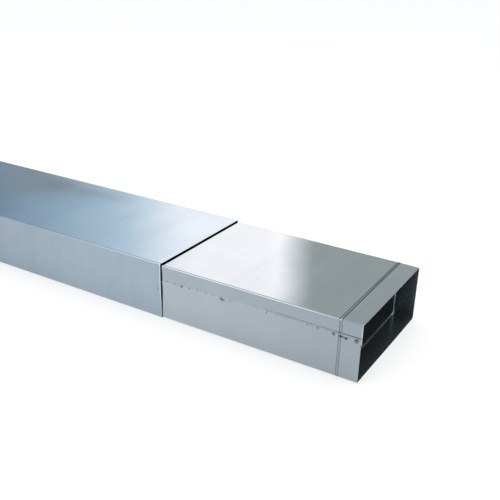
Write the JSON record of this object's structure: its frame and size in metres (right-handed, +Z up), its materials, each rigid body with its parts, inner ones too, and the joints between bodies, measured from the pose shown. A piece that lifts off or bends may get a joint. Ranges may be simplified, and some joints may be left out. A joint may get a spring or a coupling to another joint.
{
  "type": "flat channel duct",
  "caption": "Flat rectangular duct run in galvanised sheet: a short beaded length plugged into the end of a long one, with lapped and welded side seams.",
  "frame": {"origin": "on the floor, under the middle of the whole run's length and width", "axes": "+X along the duct towards the short length's open, beaded mouth; +Y across it, away from the wall with the welded seam in view; +Z up, away from the wide face it lies on"},
  "size_m": [1.332, 0.2218, 0.0932],
  "materials": {
    "galvanised_sheet_long": "smooth galvanised sheet, dull",
    "galvanised_sheet_short": "smooth galvanised sheet, dull, with weld marks along the seam"
  },
  "bodies": {
    "root": {"long_duct": "galvanised_sheet_long", "short_duct": "galvanised_sheet_short"}
  },
  "joints": []
}
